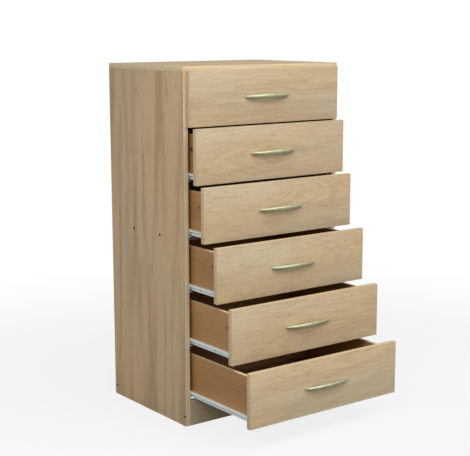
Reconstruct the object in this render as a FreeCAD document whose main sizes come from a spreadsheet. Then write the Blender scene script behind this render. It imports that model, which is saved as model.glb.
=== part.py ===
import FreeCAD, Part
import os

import Sketcher

# A tall chest of six drawers in 16 mm faced board, with bow handles and roller runners.
#
# Frame: X = 0 is the middle of the chest, Y = 0 is the plane of the carcase's front edges, Z = 0 is the
# floor. The drawers face -Y. Drawer 1 is the top one. Each drawer stands open by its own amount.
#
# A drawer is drawn once, about the middle of its front's back face at the front's lower edge, and each of
# the six drawers is a placed copy of it. The runners are drawn about the same point.

DRAWERS = (1, 2, 3, 4, 5, 6)

# (alias, millimetres, what it is)
SIZES = (
    ("chest_width", 600, "outside width over the side panels"),
    ("chest_depth", 420, "front edge to back face"),
    ("chest_height", 1100, "floor to the top face"),
    ("board", 16, "thickness of the carcase panels and of the fronts"),
    ("plinth_height", 80, "height of the plinth and of the rear rail"),
    ("back_board", 3, "thickness of the back panel"),
    ("rebate", 8, "how far the back panel lies into each panel"),
    ("back_lift", 10, "floor to the back panel"),
    ("back_play", 0.5, "gap round the back panel"),
    ("shelf_setback", 40, "carcase front edge to the middle shelf, and the same behind it"),
    ("shelf_screw_inset", 95.5, "shelf edge to its screws"),
    ("low_screw_height", 30, "floor to the screws of plinth and rail"),
    ("front_overlay", 4.5, "how far the fronts lie over the carcase edges"),
    ("front_gap", 3, "gap between two fronts"),
    ("front_standoff", 1, "gap between a closed front and the carcase"),
    ("runner_overlap", 100, "length of a drawer's runner that stays in the chest at full travel"),
    ("percent_open_1", 0, "how much of its travel drawer 1 stands open"),
    ("percent_open_2", 10.5, "how much of its travel drawer 2 stands open"),
    ("percent_open_3", 23.1666667, "how much of its travel drawer 3 stands open"),
    ("percent_open_4", 44.1666667, "how much of its travel drawer 4 stands open"),
    ("percent_open_5", 68, "how much of its travel drawer 5 stands open"),
    ("percent_open_6", 97.1666667, "how much of its travel drawer 6 stands open"),
    ("box_board", 12, "thickness of the drawer sides and back"),
    ("box_lift", 15, "lower edge of a front to its drawer sides"),
    ("box_headroom", 18, "top of the drawer sides to the top of the front"),
    ("box_rear_gap", 18, "closed drawer to the back panel"),
    ("base_board", 3, "thickness of the drawer bottom"),
    ("groove_lift", 10, "lower edge of the drawer sides to the groove"),
    ("groove_depth", 6, "depth of the groove that holds the bottom"),
    ("groove_play", 0.2, "gap round the bottom in its groove"),
    ("runner_setback", 2, "front end of a runner behind the edge it starts at"),
    ("runner_steel", 1.2, "sheet thickness of the runners"),
    ("channel_lift", 10.2, "lower edge of a front to the floor of its channel"),
    ("channel_headroom", 1.7, "rear roller to the ceiling of its channel"),
    ("channel_cover", 0.7, "how far a channel reaches past its rollers"),
    ("lip_gap", 0.5, "channel web to the lip of the member's flange"),
    ("lip_drop", 2.5, "how far the flange's lip turns down"),
    ("lip_steel", 1, "thickness of the lip"),
    ("lip_clearance", 0.5, "lip to the collar's end of the front roller's axle"),
    ("rear_roller", 20, "diameter of the roller on the member's rear end"),
    ("roller_step", 2, "how much less the diameter of the roller in the channel's front end is"),
    ("roller_width", 6, "width of both rollers"),
    ("roller_chamfer", 0.6, "chamfer of the rollers' rims"),
    ("roller_inset", 12, "roller axis to the end of its runner"),
    ("rolling_gap", 0.3, "gap between a roller and what it rolls on"),
    ("rear_collar", 1.9, "length of the collar on the rear roller's axle"),
    ("roller_play", 0.1, "gap on each side of a roller"),
    ("axle", 5, "diameter of the roller axles"),
    ("axle_play", 0.08, "radial gap of a roller on its axle"),
    ("axle_head", 7.5, "diameter of the axle's collar and head"),
    ("axle_head_height", 0.8, "thickness of the axle's head"),
    ("hole_play", 0.1, "radial gap round every fastener"),
    ("end_play", 1, "gap past the end of every fastener"),
    ("past", 1, "how far a cutter runs past what it cuts"),
    ("runner_screw_inset", 35, "end of a channel to its first and last screw"),
    ("member_screw_front", 90, "front to the member's first screw"),
    ("member_screw_rear", 72, "rear end of a member to its second screw"),
    ("member_screw_drop", 3, "groove of the bottom to the member's screws below it"),
    ("wood_screw", 3.5, "diameter of the runner and box screws"),
    ("wood_screw_head", 7, "diameter of their heads"),
    ("wood_screw_head_height", 0.6, "thickness of their heads"),
    ("runner_screw_length", 13, "runner screw under its head"),
    ("member_screw_length", 9, "member screw under its head"),
    ("box_screw_length", 35, "box screw under its head"),
    ("box_screw_inset", 25, "edge of the drawer back to its screws"),
    ("confirmat", 5, "diameter of the carcase screws"),
    ("confirmat_head", 9.4, "diameter of their heads"),
    ("confirmat_head_height", 3.5, "height of their heads"),
    ("confirmat_length", 46, "carcase screw under its head"),
    ("confirmat_sink", 0.8, "how far the head lies below the face"),
    ("hex_socket", 4, "width across flats of the carcase screw's socket"),
    ("hex_floor", 0.8, "seat of the carcase screw's head to the socket's floor"),
    ("bolt", 5, "diameter of a cam bolt's thread"),
    ("bolt_thread", 11, "length of a cam bolt's thread"),
    ("bolt_collar", 6.6, "diameter of a cam bolt's collar and head"),
    ("bolt_collar_length", 3, "length of a cam bolt's collar"),
    ("bolt_neck", 4, "diameter of a cam bolt's neck"),
    ("bolt_head_length", 2, "length of a cam bolt's head between its cones"),
    ("bolt_cone", 1, "length of each cone on a cam bolt's head"),
    ("bolt_tip", 1, "tip of a cam bolt to the middle of its cam"),
    ("cam_rim", 2.5, "rim of a cam round its screwdriver cross"),
    ("cam_slot", 1.2, "width of the screwdriver cross"),
    ("cam_slot_depth", 1.5, "depth of the screwdriver cross"),
    ("box_cam", 12, "diameter of the cams in the drawer sides"),
    ("box_cam_depth", 9.5, "depth of the cams in the drawer sides"),
    ("box_cam_inset", 32, "front to the cams in the drawer sides"),
    ("box_cam_drop", 45, "top of the drawer sides to their cams"),
    ("top_cam", 15, "diameter of the cams under the top panel"),
    ("top_cam_depth", 12.5, "depth of the cams under the top panel"),
    ("top_cam_inset", 34, "top panel to the cams below it"),
    ("top_cam_setback", 60, "front edge to the first cam, and the same behind"),
    ("dowel", 8, "diameter of the dowels"),
    ("dowel_length", 30, "length of the dowels"),
    ("dowel_chamfer", 1, "chamfer of their ends"),
    ("dowel_in_top", 10, "how far a dowel stands in the top panel"),
    ("dowel_offset", 32, "cam bolt to the dowel beside it"),
    ("handle_overhang", 21, "handle screw to the end of the handle"),
    ("handle_rise", 24, "how far a handle stands off its front"),
    ("handle_end_rise", 7, "how far a handle's blunt ends stand off its front"),
    ("handle_wall", 8, "thickness of a handle's bow in the middle"),
    ("foot_overhang", 6, "handle screw to the inner edge of its foot"),
    ("handle_middle", 14, "height of a handle in the middle"),
    ("handle_end", 10, "height of a handle at its ends"),
    ("handle_round", 2.2, "rounding of a handle's outer edges"),
    ("handle_centres", 128, "distance between the handle screws"),
    ("handle_screw", 4, "diameter of the handle screws"),
    ("handle_screw_bite", 7, "depth of thread in a handle's foot"),
    ("handle_screw_head", 8, "diameter of the handle screws' heads"),
    ("handle_screw_head_height", 2.4, "height of the handle screws' heads"),
)

# Sizes that follow from the ones above.
FITS = (
    ("inner_half", "Sizes.chest_width / 2 - Sizes.board"),
    ("side_height", "Sizes.chest_height - Sizes.board"),
    ("back_y", "Sizes.chest_depth - Sizes.back_board"),
    ("rail_y", "back_y - Sizes.board"),
    ("fronts_bottom", "Sizes.plinth_height - Sizes.front_overlay"),
    ("fronts_top", "side_height + Sizes.front_overlay"),
    ("front_height", "(fronts_top - fronts_bottom - 5 * Sizes.front_gap) / 6"),
    ("pitch", "front_height + Sizes.front_gap"),
    ("front_half", "inner_half + Sizes.front_overlay"),
    ("shelf_z", "fronts_bottom + 3 * pitch - (Sizes.front_gap + Sizes.board) / 2"),
    ("front_roller", "Sizes.rear_roller - Sizes.roller_step"),
    ("front_collar", "Sizes.lip_gap + Sizes.lip_steel + Sizes.lip_clearance"),
    ("roller_space", "Sizes.roller_width + 2 * Sizes.roller_play"),
    ("runner_space", "2 * Sizes.runner_steel + front_collar + roller_space + Sizes.rear_collar"),
    ("channel_reach", "Sizes.runner_steel + front_collar + roller_space - Sizes.roller_play"
                      " + Sizes.channel_cover"),
    ("channel_height", "Sizes.rolling_gap + Sizes.rear_roller + Sizes.channel_headroom"),
    ("flange_reach", "runner_space - Sizes.runner_steel - Sizes.lip_gap"),
    ("box_half", "inner_half - runner_space"),
    ("box_inner_half", "box_half - Sizes.box_board"),
    ("box_length", "back_y - Sizes.box_rear_gap + Sizes.front_standoff"),
    ("box_height", "front_height - Sizes.box_lift - Sizes.box_headroom"),
    ("box_back_y", "box_length - Sizes.box_board"),
    ("groove_z", "Sizes.box_lift + Sizes.groove_lift"),
    ("groove_height", "Sizes.base_board + 2 * Sizes.groove_play"),
    ("axle_z", "Sizes.channel_lift + Sizes.rolling_gap + Sizes.rear_roller / 2"),
    ("flange_z", "axle_z + front_roller / 2 + Sizes.rolling_gap"),
    ("member_end_y", "Sizes.runner_setback + box_length"),
    ("travel", "box_length - Sizes.runner_overlap"),
    ("member_screw_z", "groove_z - Sizes.member_screw_drop"),
    ("handle_half", "Sizes.handle_centres / 2 + Sizes.handle_overhang"),
    ("opening_half", "Sizes.handle_centres / 2 - Sizes.foot_overhang"),
    ("opening_rise", "Sizes.handle_rise - Sizes.handle_wall"),
)

doc = FreeCAD.newDocument("TallChest")
X_AXIS = FreeCAD.Vector(1, 0, 0)
Y_AXIS = FreeCAD.Vector(0, 1, 0)
Z_AXIS = FreeCAD.Vector(0, 0, 1)
nodes = []


def fill_sheet():
    """Writes the driving sizes as plain numbers with aliases, and the fits as a set of formulas."""
    sheet = doc.addObject("Spreadsheet::Sheet", "Sizes")
    for row, (alias, value, meaning) in enumerate(SIZES, start=1):
        sheet.set(f"A{row}", meaning)
        sheet.set(f"B{row}", str(value))
        sheet.setAlias(f"B{row}", alias)
    doc.recompute()
    fits = doc.addObject("App::VarSet", "Fits")
    for name, _ in FITS:
        fits.addProperty("App::PropertyFloat", name, "Fits")
    for name, formula in FITS:
        fits.setExpression(name, formula)
    doc.recompute()


def number(formula):
    """The present value of a formula, as a plain number."""
    value = doc.Sizes.evalExpression(formula)
    return float(getattr(value, "Value", value))


def turn(x_to, y_to):
    """The rotation that carries the X axis to x_to and the Y axis to y_to."""
    return FreeCAD.Rotation(x_to, y_to, x_to.cross(y_to), "XYZ")


LYING_ALONG_X = turn(-Z_AXIS, Y_AXIS)
LYING_ALONG_MINUS_X = turn(Z_AXIS, Y_AXIS)
LYING_ALONG_Y = turn(X_AXIS, -Z_AXIS)
LYING_ALONG_MINUS_Y = turn(X_AXIS, Z_AXIS)


def put(obj, at=("0", "0", "0"), rotation=None):
    """Places an object at three formulas, turned as stated."""
    if rotation is not None:
        obj.Placement = FreeCAD.Placement(FreeCAD.Vector(), rotation)
    for axis, formula in zip("xyz", at):
        obj.setExpression(f"Placement.Base.{axis}", formula)
    return obj


def block(name, low, size):
    """A rectangular board or cutter from its lowest corner and its three sizes."""
    box = doc.addObject("Part::Box", name)
    for side, formula in zip(("Length", "Width", "Height"), size):
        box.setExpression(side, formula)
    return put(box, low)


def drill(name, diameter, length, at, rotation=None):
    """A round cutter that starts at a point and runs along +Z, or as turned."""
    cylinder = doc.addObject("Part::Cylinder", name)
    cylinder.setExpression("Radius", f"({diameter}) / 2 + Sizes.hole_play")
    cylinder.setExpression("Height", length)
    return put(cylinder, at, rotation)


def cut(name, base, tools):
    """A piece with every tool taken away from it."""
    gathered = doc.addObject("Part::Compound", f"{name}_cutters")
    gathered.Links = tools
    piece = doc.addObject("Part::Cut", name)
    piece.Base = base
    piece.Tool = gathered
    return piece


def copy(source, at=("0", "0", "0"), rotation=None):
    """A placed copy of a piece."""
    placed = doc.addObject("Part::Compound", f"{source.Name}_copy")
    placed.Links = [source]
    return put(placed, at, rotation)


def mirrored(source):
    """The same piece on the other side of the chest."""
    other = doc.addObject("Part::Mirroring", f"{source.Name}_right")
    other.Source = source
    other.Normal = X_AXIS
    return other


def gather(name, pieces):
    """Separate solids under one name."""
    group = doc.addObject("Part::Compound", name)
    group.Links = pieces
    return group


def node(name, source, at=("0", "0", "0")):
    """A sub-part of the chest: its Label names its file."""
    part = copy(source, at)
    part.Label = name
    nodes.append(part)


def body_plane(body, role):
    """One of the body's own origin planes."""
    return next(f for f in body.Origin.OriginFeatures if f.Role == role)


def outline(body, plane, corners):
    """A closed polygon on a body's origin plane, each corner held at two formulas."""
    sketch = body.newObject("Sketcher::SketchObject", f"{body.Name}_outline")
    sketch.AttachmentSupport = (body_plane(body, plane), [""])
    sketch.MapMode = "FlatFace"
    points = [FreeCAD.Vector(number(u), number(v), 0) for u, v in corners]
    count = len(points)
    for i in range(count):
        sketch.addGeometry(Part.LineSegment(points[i], points[(i + 1) % count]), False)
    for i in range(count):
        sketch.addConstraint(Sketcher.Constraint("Coincident", i, 2, (i + 1) % count, 1))
    for i, (u, v) in enumerate(corners):
        for kind, formula in (("DistanceX", u), ("DistanceY", v)):
            row = sketch.addConstraint(Sketcher.Constraint(kind, -1, 1, i, 1, number(formula)))
            sketch.setExpression(f"Constraints[{row}]", formula)
    return sketch


def turned(name, profile):
    """A piece turned about Z from corners given as radius and height."""
    body = doc.addObject("PartDesign::Body", name)
    sketch = outline(body, "XZ_Plane", profile)
    lathe = body.newObject("PartDesign::Revolution", f"{name}_turned")
    lathe.Profile = sketch
    lathe.ReferenceAxis = (sketch, ["V_Axis"])
    lathe.Angle = 360
    body.Tip = lathe
    return body


def rolled(name, section, start, length):
    """A steel section, given as corners in X and Z, that runs along +Y from its start."""
    body = doc.addObject("PartDesign::Body", name)
    pad = body.newObject("PartDesign::Pad", f"{name}_pad")
    pad.Profile = outline(body, "XZ_Plane", section)
    pad.setExpression("Length", length)
    pad.Reversed = True
    body.Tip = pad
    return put(body, ("0", start, "0"))


def screw_master(name, shank, shank_length, head, head_height):
    """A round-headed screw whose head stands on Z = 0 and whose shank runs down."""
    return turned(name, (
        ("0", f"-({shank_length})"),
        (f"{shank} / 2", f"-({shank_length}) + {shank} / 2"),
        (f"{shank} / 2", "0"),
        (f"{head} / 2", "0"),
        (f"{head} / 2", f"{head_height} / 2"),
        (f"{head} / 2 - {head_height} / 2", head_height),
        ("0", head_height),
    ))


def cam_fitting(name, cam, depth, inset, wood):
    """A cam and its bolt. The bolt's thread goes to -Y; the cam lies at the inset, open face up."""
    disc = doc.addObject("Part::Cylinder", f"{name}_disc")
    disc.setExpression("Radius", f"{cam} / 2")
    disc.setExpression("Height", depth)
    put(disc, ("0", inset, f"{wood} / 2 - {depth}"))
    way = drill(f"{name}_way", "Sizes.bolt_collar", inset, ("0", "0", "0"), LYING_ALONG_Y)
    arm, slot, slot_depth = f"({cam} - 2 * Sizes.cam_rim)", "Sizes.cam_slot", "Sizes.cam_slot_depth"
    slots = [
        block(f"{name}_slot_{n}", (f"-{long} / 2", f"{inset} - {wide} / 2", f"{wood} / 2 - {slot_depth}"),
              (long, wide, slot_depth))
        for n, (long, wide) in enumerate(((arm, slot), (slot, arm)), start=1)
    ]
    cam_piece = cut(f"{name}_cam", disc, [way] + slots)
    tip = f"{inset} - Sizes.bolt_tip"
    head_front = f"{tip} - Sizes.bolt_cone"
    head_back = f"{head_front} - Sizes.bolt_head_length"
    bolt_piece = turned(f"{name}_bolt", (
        ("0", "-Sizes.bolt_thread"),
        ("Sizes.bolt / 2", "Sizes.bolt / 2 - Sizes.bolt_thread"),
        ("Sizes.bolt / 2", "0"),
        ("Sizes.bolt_collar / 2", "0"),
        ("Sizes.bolt_collar / 2", "Sizes.bolt_collar_length"),
        ("Sizes.bolt_neck / 2", "Sizes.bolt_collar_length"),
        ("Sizes.bolt_neck / 2", f"{head_back} - Sizes.bolt_cone"),
        ("Sizes.bolt_collar / 2", head_back),
        ("Sizes.bolt_collar / 2", head_front),
        ("0", tip),
    ))
    return gather(name, [cam_piece, copy(bolt_piece, rotation=LYING_ALONG_Y)])


def along(first, last, count):
    """Formulas for evenly spaced places from the first to the last."""
    return [f"{first} + ({last} - ({first})) * {i} / {count - 1}" for i in range(count)]


# ---- places that several pieces share ----------------------------------------------------------------

SHELF_SCREWS_Y = (
    "Sizes.shelf_setback + Sizes.shelf_screw_inset",
    "Sizes.chest_depth - Sizes.shelf_setback - Sizes.shelf_screw_inset",
)
CONFIRMATS = (
    ("Sizes.board / 2", "Sizes.low_screw_height"),
    ("Fits.rail_y + Sizes.board / 2", "Sizes.low_screw_height"),
    (SHELF_SCREWS_Y[0], "Fits.shelf_z + Sizes.board / 2"),
    (SHELF_SCREWS_Y[1], "Fits.shelf_z + Sizes.board / 2"),
)
SIDE_MIDDLE_X = "-(Fits.inner_half + Sizes.board / 2)"
TOP_CAMS_Y = ("Sizes.top_cam_setback", "Sizes.chest_depth - Sizes.top_cam_setback")
DOWELS_Y = (f"{TOP_CAMS_Y[0]} + Sizes.dowel_offset", f"{TOP_CAMS_Y[1]} - Sizes.dowel_offset")
DOWEL_FOOT = "Fits.side_height - Sizes.dowel_length + Sizes.dowel_in_top"
RUNNER_SCREWS_Y = along(
    "Sizes.runner_setback + Sizes.runner_screw_inset",
    "Fits.member_end_y - Sizes.runner_screw_inset", 3)
BOX_SIDE_MIDDLE_X = "-(Fits.box_half - Sizes.box_board / 2)"
BOX_CAM_Z = "Sizes.box_lift + Fits.box_height - Sizes.box_cam_drop"
BOX_SCREWS_Z = (
    "Sizes.box_lift + Sizes.box_screw_inset",
    "Sizes.box_lift + Fits.box_height - Sizes.box_screw_inset",
)
BOX_SCREWS_Y = "Fits.box_back_y + Sizes.box_board / 2"
MEMBER_SCREWS_Y = ("Sizes.member_screw_front", "Fits.member_end_y - Sizes.member_screw_rear")
FRONT_AXLE_Y = "Sizes.runner_setback + Sizes.roller_inset"
REAR_AXLE_Y = "Fits.member_end_y - Sizes.roller_inset"
HANDLE_SCREWS_X = ("-Sizes.handle_centres / 2", "Sizes.handle_centres / 2")
HANDLE_Z = "Fits.front_height / 2"
ROLLER_X = "-(Fits.inner_half - Sizes.runner_steel - Fits.front_collar - Sizes.roller_play)"


def front_bottom(drawer):
    """Height of a drawer front's lower edge above the floor."""
    return f"Fits.fronts_bottom + {len(DRAWERS) - drawer} * Fits.pitch"


# ---- carcase -------------------------------------------------------------------------------------------

def confirmat_bores():
    """Stepped bores for the left side's carcase screws, from its outer face into the boards' ends."""
    bores = []
    for n, (y, z) in enumerate(CONFIRMATS, start=1):
        face = ("-Sizes.chest_width / 2", y, z)
        bores.append(drill(f"confirmat_seat_{n}", "Sizes.confirmat_head",
                           "Sizes.confirmat_sink + Sizes.confirmat_head_height", face, LYING_ALONG_X))
        bores.append(drill(f"confirmat_bore_{n}", "Sizes.confirmat",
                           "Sizes.confirmat_sink + Sizes.confirmat_head_height + Sizes.confirmat_length"
                           " + Sizes.end_play", face, LYING_ALONG_X))
    return gather("confirmat_bores", bores)


def top_bores():
    """Bores for the left side's cams, cam bolts and dowels, in the side and in the top panel."""
    bores = []
    for n, y in enumerate(TOP_CAMS_Y, start=1):
        bores.append(drill(f"top_cam_bore_{n}", "Sizes.top_cam", "Sizes.top_cam_depth",
                           ("-Fits.inner_half", y, "Fits.side_height - Sizes.top_cam_inset"),
                           LYING_ALONG_MINUS_X))
        bores.append(drill(f"top_bolt_way_{n}", "Sizes.bolt_collar", "Sizes.top_cam_inset",
                           (SIDE_MIDDLE_X, y, "Fits.side_height - Sizes.top_cam_inset")))
        bores.append(drill(f"top_bolt_pilot_{n}", "Sizes.bolt", "Sizes.bolt_thread + Sizes.end_play",
                           (SIDE_MIDDLE_X, y, "Fits.side_height")))
    for n, y in enumerate(DOWELS_Y, start=1):
        bores.append(drill(f"dowel_bore_{n}", "Sizes.dowel", "Sizes.dowel_length + 2 * Sizes.end_play",
                           (SIDE_MIDDLE_X, y, f"{DOWEL_FOOT} - Sizes.end_play")))
    return gather("top_bores", bores)


def make_carcase():
    """The panels of the carcase and what joins them."""
    screws = confirmat_bores()
    both_screws = [screws, mirrored(screws)]
    fittings = top_bores()

    side = block("side_blank", ("-Sizes.chest_width / 2", "0", "0"),
                 ("Sizes.board", "Sizes.chest_depth", "Fits.side_height"))
    back_rebate = block("side_rebate", ("-Fits.inner_half - Sizes.rebate", "Fits.back_y", "0"),
                        ("Sizes.rebate", "Sizes.back_board", "Fits.side_height"))
    pilots = [
        drill(f"runner_pilot_{n}_{i}", "Sizes.wood_screw",
              "Sizes.runner_screw_length - Sizes.runner_steel + Sizes.end_play",
              ("-Fits.inner_half", y, f"{front_bottom(n)} + Fits.axle_z"), LYING_ALONG_MINUS_X)
        for n in DRAWERS
        for i, y in enumerate(RUNNER_SCREWS_Y, start=1)
    ]
    left = cut("side_panel", side, [screws, fittings, back_rebate] + pilots)
    node("left_side_panel", left)
    node("right_side_panel", mirrored(left))

    top = block("top_blank", ("-Sizes.chest_width / 2", "0", "Fits.side_height"),
                ("Sizes.chest_width", "Sizes.chest_depth", "Sizes.board"))
    top_rebate = block("top_rebate", ("-Fits.inner_half - Sizes.rebate", "Fits.back_y", "Fits.side_height"),
                       ("2 * (Fits.inner_half + Sizes.rebate)", "Sizes.back_board", "Sizes.rebate"))
    node("top_panel", cut("top", top, [fittings, mirrored(fittings), top_rebate]))

    node("back_panel", block(
        "back", ("-Fits.inner_half - Sizes.rebate + Sizes.back_play", "Fits.back_y", "Sizes.back_lift"),
        ("2 * (Fits.inner_half + Sizes.rebate - Sizes.back_play)", "Sizes.back_board",
         "Fits.side_height + Sizes.rebate - Sizes.back_play - Sizes.back_lift")))

    across = "2 * Fits.inner_half"
    plinth = block("plinth_blank", ("-Fits.inner_half", "0", "0"),
                   (across, "Sizes.board", "Sizes.plinth_height"))
    node("front_plinth", cut("plinth", plinth, both_screws))
    rail = block("rail_blank", ("-Fits.inner_half", "Fits.rail_y", "0"),
                 (across, "Sizes.board", "Sizes.plinth_height"))
    node("rear_rail", cut("rail", rail, both_screws))
    shelf = block("shelf_blank", ("-Fits.inner_half", "Sizes.shelf_setback", "Fits.shelf_z"),
                  (across, "Sizes.chest_depth - 2 * Sizes.shelf_setback", "Sizes.board"))
    node("middle_shelf", cut("shelf", shelf, both_screws))


def make_carcase_fasteners():
    """Carcase screws, the cams and bolts under the top panel, and the dowels beside them."""
    plain = screw_master("plain_confirmat", "Sizes.confirmat", "Sizes.confirmat_length",
                         "Sizes.confirmat_head", "Sizes.confirmat_head_height")
    socket = doc.addObject("Part::Prism", "hex_socket_cutter")
    socket.Polygon = 6
    socket.setExpression("Circumradius", "Sizes.hex_socket / 2 / cos(30 deg)")
    socket.setExpression("Height", "Sizes.confirmat_head_height")
    put(socket, ("0", "0", "Sizes.hex_floor"))
    screw = cut("confirmat_screw", plain, [socket])
    seat = "-Sizes.chest_width / 2 + Sizes.confirmat_sink + Sizes.confirmat_head_height"
    left = gather("left_confirmats", [copy(screw, (seat, y, z), LYING_ALONG_MINUS_X) for y, z in CONFIRMATS])
    node("confirmat_screws", gather("confirmats", [left, mirrored(left)]))

    fitting = cam_fitting("top_fitting", "Sizes.top_cam", "Sizes.top_cam_depth", "Sizes.top_cam_inset",
                          "Sizes.board")
    hanging = turn(-Y_AXIS, -Z_AXIS)
    left = gather("left_top_fittings",
                  [copy(fitting, (SIDE_MIDDLE_X, y, "Fits.side_height"), hanging) for y in TOP_CAMS_Y])
    node("top_cam_fittings", gather("both_top_fittings", [left, mirrored(left)]))

    chamfer = "Sizes.dowel_chamfer"
    dowel = turned("dowel", (
        ("0", "0"), (f"Sizes.dowel / 2 - {chamfer}", "0"), ("Sizes.dowel / 2", chamfer),
        ("Sizes.dowel / 2", f"Sizes.dowel_length - {chamfer}"),
        (f"Sizes.dowel / 2 - {chamfer}", "Sizes.dowel_length"), ("0", "Sizes.dowel_length"),
    ))
    left = gather("left_dowels", [copy(dowel, (SIDE_MIDDLE_X, y, DOWEL_FOOT)) for y in DOWELS_Y])
    node("top_dowels", gather("both_dowels", [left, mirrored(left)]))


# ---- runners -------------------------------------------------------------------------------------------

def axle_master(name, collar):
    """A roller axle that stands on Z = 0: collar, journal and head."""
    journal = f"{collar} + Fits.roller_space"
    return turned(name, (
        ("0", "0"), ("Sizes.axle_head / 2", "0"), ("Sizes.axle_head / 2", collar),
        ("Sizes.axle / 2", collar), ("Sizes.axle / 2", journal), ("Sizes.axle_head / 2", journal),
        ("Sizes.axle_head / 2", f"{journal} + Sizes.axle_head_height"),
        ("0", f"{journal} + Sizes.axle_head_height"),
    ))


def roller_pair(name, diameter):
    """A left and a right roller on one axis, which runs along X through Y = 0 and Z = 0."""
    bore = "Sizes.axle / 2 + Sizes.axle_play"
    edge = "Sizes.roller_chamfer"
    ring = turned(f"{name}_ring", (
        (bore, "0"), (f"{diameter} / 2 - {edge}", "0"), (f"{diameter} / 2", edge),
        (f"{diameter} / 2", f"Sizes.roller_width - {edge}"),
        (f"{diameter} / 2 - {edge}", "Sizes.roller_width"), (bore, "Sizes.roller_width"),
    ))
    left = copy(ring, (ROLLER_X, "0", "0"), LYING_ALONG_X)
    return gather(name, [left, mirrored(left)])


def fused(name, pieces):
    """Pieces that are riveted into one."""
    whole = doc.addObject("Part::MultiFuse", name)
    whole.Shapes = pieces
    return whole


def channel_pair():
    """The left and right cabinet members of one drawer, each with the axle of its front roller."""
    web, steel, floor = "-Fits.inner_half", "Sizes.runner_steel", "Sizes.channel_lift"
    edge = f"{web} + Fits.channel_reach"
    ceiling = f"{floor} + Fits.channel_height"
    section = rolled("channel_section", (
        (web, f"{floor} - {steel}"), (edge, f"{floor} - {steel}"), (edge, floor), (f"{web} + {steel}", floor),
        (f"{web} + {steel}", ceiling), (edge, ceiling), (edge, f"{ceiling} + {steel}"),
        (web, f"{ceiling} + {steel}"),
    ), "Sizes.runner_setback", "Fits.box_length")
    holes = [drill(f"channel_hole_{i}", "Sizes.wood_screw", f"2 * {steel}", (web, y, "Fits.axle_z"),
                   LYING_ALONG_X) for i, y in enumerate(RUNNER_SCREWS_Y, start=1)]
    axle = copy(axle_master("front_axle", "Fits.front_collar"),
                (f"{web} + {steel}", FRONT_AXLE_Y, "Fits.axle_z"), LYING_ALONG_X)
    left = fused("left_channel", [cut("drilled_channel", section, holes), axle])
    return gather("channels", [left, mirrored(left)])


def member_pair():
    """The members under the drawer sides: a foot, a leg, a flange that rolls on the front roller, and
    the axle of the rear roller behind the flange."""
    side, steel = "-Fits.box_half", "Sizes.runner_steel"
    foot, flange = "Sizes.box_lift", "Fits.flange_z"
    tip = f"{side} - Fits.flange_reach"
    lip = f"{flange} - Sizes.lip_drop"
    section = rolled("member_section", (
        (f"{side} + Sizes.box_board", f"{foot} - {steel}"), (f"{side} + Sizes.box_board", foot), (side, foot),
        (side, f"{flange} + {steel}"), (tip, f"{flange} + {steel}"), (tip, lip),
        (f"{tip} + Sizes.lip_steel", lip), (f"{tip} + Sizes.lip_steel", flange),
        (f"{side} - {steel}", flange), (f"{side} - {steel}", f"{foot} - {steel}"),
    ), "Sizes.runner_setback", "Fits.box_length")
    past = "Sizes.past"
    clearing = f"Sizes.rear_roller / 2 + {steel}"
    relief = block("flange_relief", (f"{tip} - {past}", f"{REAR_AXLE_Y} - ({clearing})", f"{lip} - {past}"),
                   (f"Fits.flange_reach - {steel} + {past}", f"{clearing} + Sizes.roller_inset + {past}",
                    f"Sizes.lip_drop + {steel} + 2 * {past}"))
    holes = [drill(f"member_hole_{i}", "Sizes.wood_screw", f"2 * {steel}",
                   (f"{side} - 2 * {steel}", y, "Fits.member_screw_z"), LYING_ALONG_X)
             for i, y in enumerate(MEMBER_SCREWS_Y, start=1)]
    axle = copy(axle_master("rear_axle", "Sizes.rear_collar"),
                (f"{side} - {steel}", REAR_AXLE_Y, "Fits.axle_z"), LYING_ALONG_MINUS_X)
    left = fused("left_member", [cut("cut_member", section, [relief] + holes), axle])
    return gather("members", [left, mirrored(left)])


def make_runners():
    """Six pairs of channels with their screws, and the rollers in the channels' front ends."""
    channels = channel_pair()
    node("cabinet_runners", gather("all_channels", [
        copy(channels, ("0", "0", front_bottom(n))) for n in DRAWERS]))

    screw = screw_master("runner_screw", "Sizes.wood_screw", "Sizes.runner_screw_length",
                         "Sizes.wood_screw_head", "Sizes.wood_screw_head_height")
    left = gather("left_runner_screws", [
        copy(screw, ("-Fits.inner_half + Sizes.runner_steel", y, "Fits.axle_z"), LYING_ALONG_X)
        for y in RUNNER_SCREWS_Y])
    pair = gather("runner_screw_pair", [left, mirrored(left)])
    node("runner_screws", gather("all_runner_screws", [
        copy(pair, ("0", "0", front_bottom(n))) for n in DRAWERS]))

    rollers = roller_pair("front_roller_pair", "Fits.front_roller")
    for n in DRAWERS:
        node(f"drawer_{n}_front_rollers", rollers, ("0", FRONT_AXLE_Y, f"{front_bottom(n)} + Fits.axle_z"))


# ---- drawer --------------------------------------------------------------------------------------------

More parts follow.
